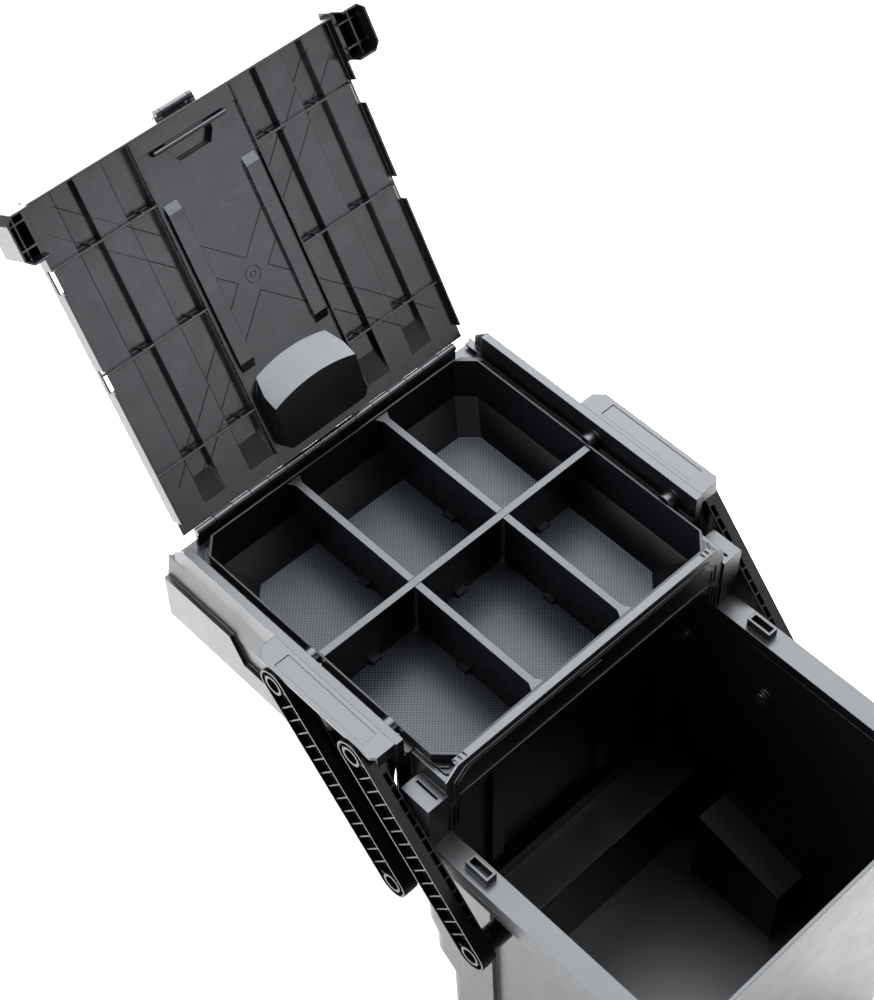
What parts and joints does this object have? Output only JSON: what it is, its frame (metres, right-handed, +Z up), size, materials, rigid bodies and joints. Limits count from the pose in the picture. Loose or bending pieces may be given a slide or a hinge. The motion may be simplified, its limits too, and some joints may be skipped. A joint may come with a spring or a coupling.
{
  "type": "rolling job box",
  "caption": "Wheeled tool box: deep bin under a hinged-lid compartment tray that swings back on parallel arms.",
  "frame": {"origin": "on the floor, mid-width, at the middle of the rubber strip under the bin's front foot", "axes": "+Z up, +Y from the front to the rear, +X to the right seen from the front"},
  "size_m": [0.572, 1.088, 1.0752],
  "materials": {
    "bin_plastic": "moulded dark grey plastic with a fine satin texture",
    "tray_plastic": "moulded dark grey plastic with a fine satin texture",
    "tub_plastic": "moulded dark grey plastic, floor with a fine crossed grain",
    "divider_plastic": "moulded dark grey plastic with smooth satin caps",
    "lid_plastic": "moulded dark grey plastic with a fine satin texture",
    "arm_plastic": "moulded dark grey glass-filled plastic",
    "grip_plastic": "moulded dark grey plastic, satin",
    "button_plastic": "smooth moulded plastic",
    "hub_plastic": "moulded dark grey plastic",
    "tyre_rubber": "matte black rubber tread",
    "foot_rubber": "matte black rubber",
    "steel": "zinc-plated steel",
    "tube_aluminium": "drawn aluminium tube"
  },
  "bodies": {
    "bin": {"bin_shell": "bin_plastic", "left_rail": "bin_plastic", "right_rail": "bin_plastic", "axle": "steel", "axle_caps": "hub_plastic", "axle_spacers": "hub_plastic", "front_foot": "bin_plastic", "foot_strip": "foot_rubber", "handle_housing": "bin_plastic", "housing_screws": "steel", "handle_sleeves": "tube_aluminium", "handle_middle_tubes": "tube_aluminium", "handle_inner_tubes": "tube_aluminium", "handle_grip": "grip_plastic", "lower_pivot_pins": "steel"},
    "left_wheel": {"left_tyre": "tyre_rubber", "left_hub": "hub_plastic"},
    "right_wheel": {"right_tyre": "tyre_rubber", "right_hub": "hub_plastic"},
    "release_button": {"handle_button": "button_plastic"},
    "left_rear_link": {"left_rear_arm": "arm_plastic"},
    "left_front_link": {"left_front_arm": "arm_plastic"},
    "right_rear_link": {"right_rear_arm": "arm_plastic"},
    "right_front_link": {"right_front_arm": "arm_plastic"},
    "tray": {"tray_frame": "tray_plastic", "tray_tub": "tub_plastic", "long_divider": "divider_plastic", "front_left_divider": "divider_plastic", "front_right_divider": "divider_plastic", "rear_left_divider": "divider_plastic", "rear_right_divider": "divider_plastic", "left_side_grip": "grip_plastic", "right_side_grip": "grip_plastic", "upper_pivot_pins": "steel", "hinge_rod": "steel", "latch_keeper": "tray_plastic"},
    "lid": {"lid": "lid_plastic", "lid_crossbar": "lid_plastic", "latch_pin": "steel"},
    "latch": {"lid_latch": "grip_plastic"}
  },
  "joints": [
    {"name": "left_rear_swing", "type": "hinge", "parent": "bin", "child": "left_rear_link", "pos_m": [-0.27537, 0.3644, 0.44002], "axis": [1, 0, 0], "range_deg": [0, 82.8]},
    {"name": "left_front_swing", "type": "hinge", "parent": "bin", "child": "left_front_link", "pos_m": [-0.27537, 0.2334, 0.44002], "axis": [1, 0, 0], "range_deg": [0, 82.8]},
    {"name": "right_rear_swing", "type": "hinge", "parent": "bin", "child": "right_rear_link", "pos_m": [0.27537, 0.3644, 0.44002], "axis": [1, 0, 0], "range_deg": [0, 82.8]},
    {"name": "right_front_swing", "type": "hinge", "parent": "bin", "child": "right_front_link", "pos_m": [0.27537, 0.2334, 0.44002], "axis": [1, 0, 0], "range_deg": [0, 82.8]},
    {"name": "tray_level", "type": "hinge", "parent": "left_rear_link", "child": "tray", "pos_m": [-0.27537, 0.55287, 0.6538], "axis": [1, 0, 0], "range_deg": [-82.8, 0]},
    {"name": "lid_hinge", "type": "hinge", "parent": "tray", "child": "lid", "pos_m": [0, 0.77495, 0.6655], "axis": [1, 0, 0], "range_deg": [0, 120.9]},
    {"name": "latch_hinge", "type": "hinge", "parent": "lid", "child": "latch", "pos_m": [0, 1.0123, 1.05429], "axis": [1, 0, 0], "range_deg": [0, 210]},
    {"name": "left_wheel_spin", "type": "hinge", "parent": "bin", "child": "left_wheel", "pos_m": [-0.103, 0.392, 0.072], "axis": [1, 0, 0], "continuous": true},
    {"name": "right_wheel_spin", "type": "hinge", "parent": "bin", "child": "right_wheel", "pos_m": [0.103, 0.392, 0.072], "axis": [1, 0, 0], "continuous": true},
    {"name": "button_press", "type": "slide", "parent": "bin", "child": "release_button", "axis": [0, 0, -1], "range_m": [0, 0.004], "stiffness_N_per_m": 400, "springref_m": -0.002}
  ],
  "couplings": [
    {"joint": "left_front_swing", "follows": "left_rear_swing", "ratio": 1},
    {"joint": "right_rear_swing", "follows": "left_rear_swing", "ratio": 1},
    {"joint": "right_front_swing", "follows": "left_rear_swing", "ratio": 1},
    {"joint": "tray_level", "follows": "left_rear_swing", "ratio": -1}
  ]
}
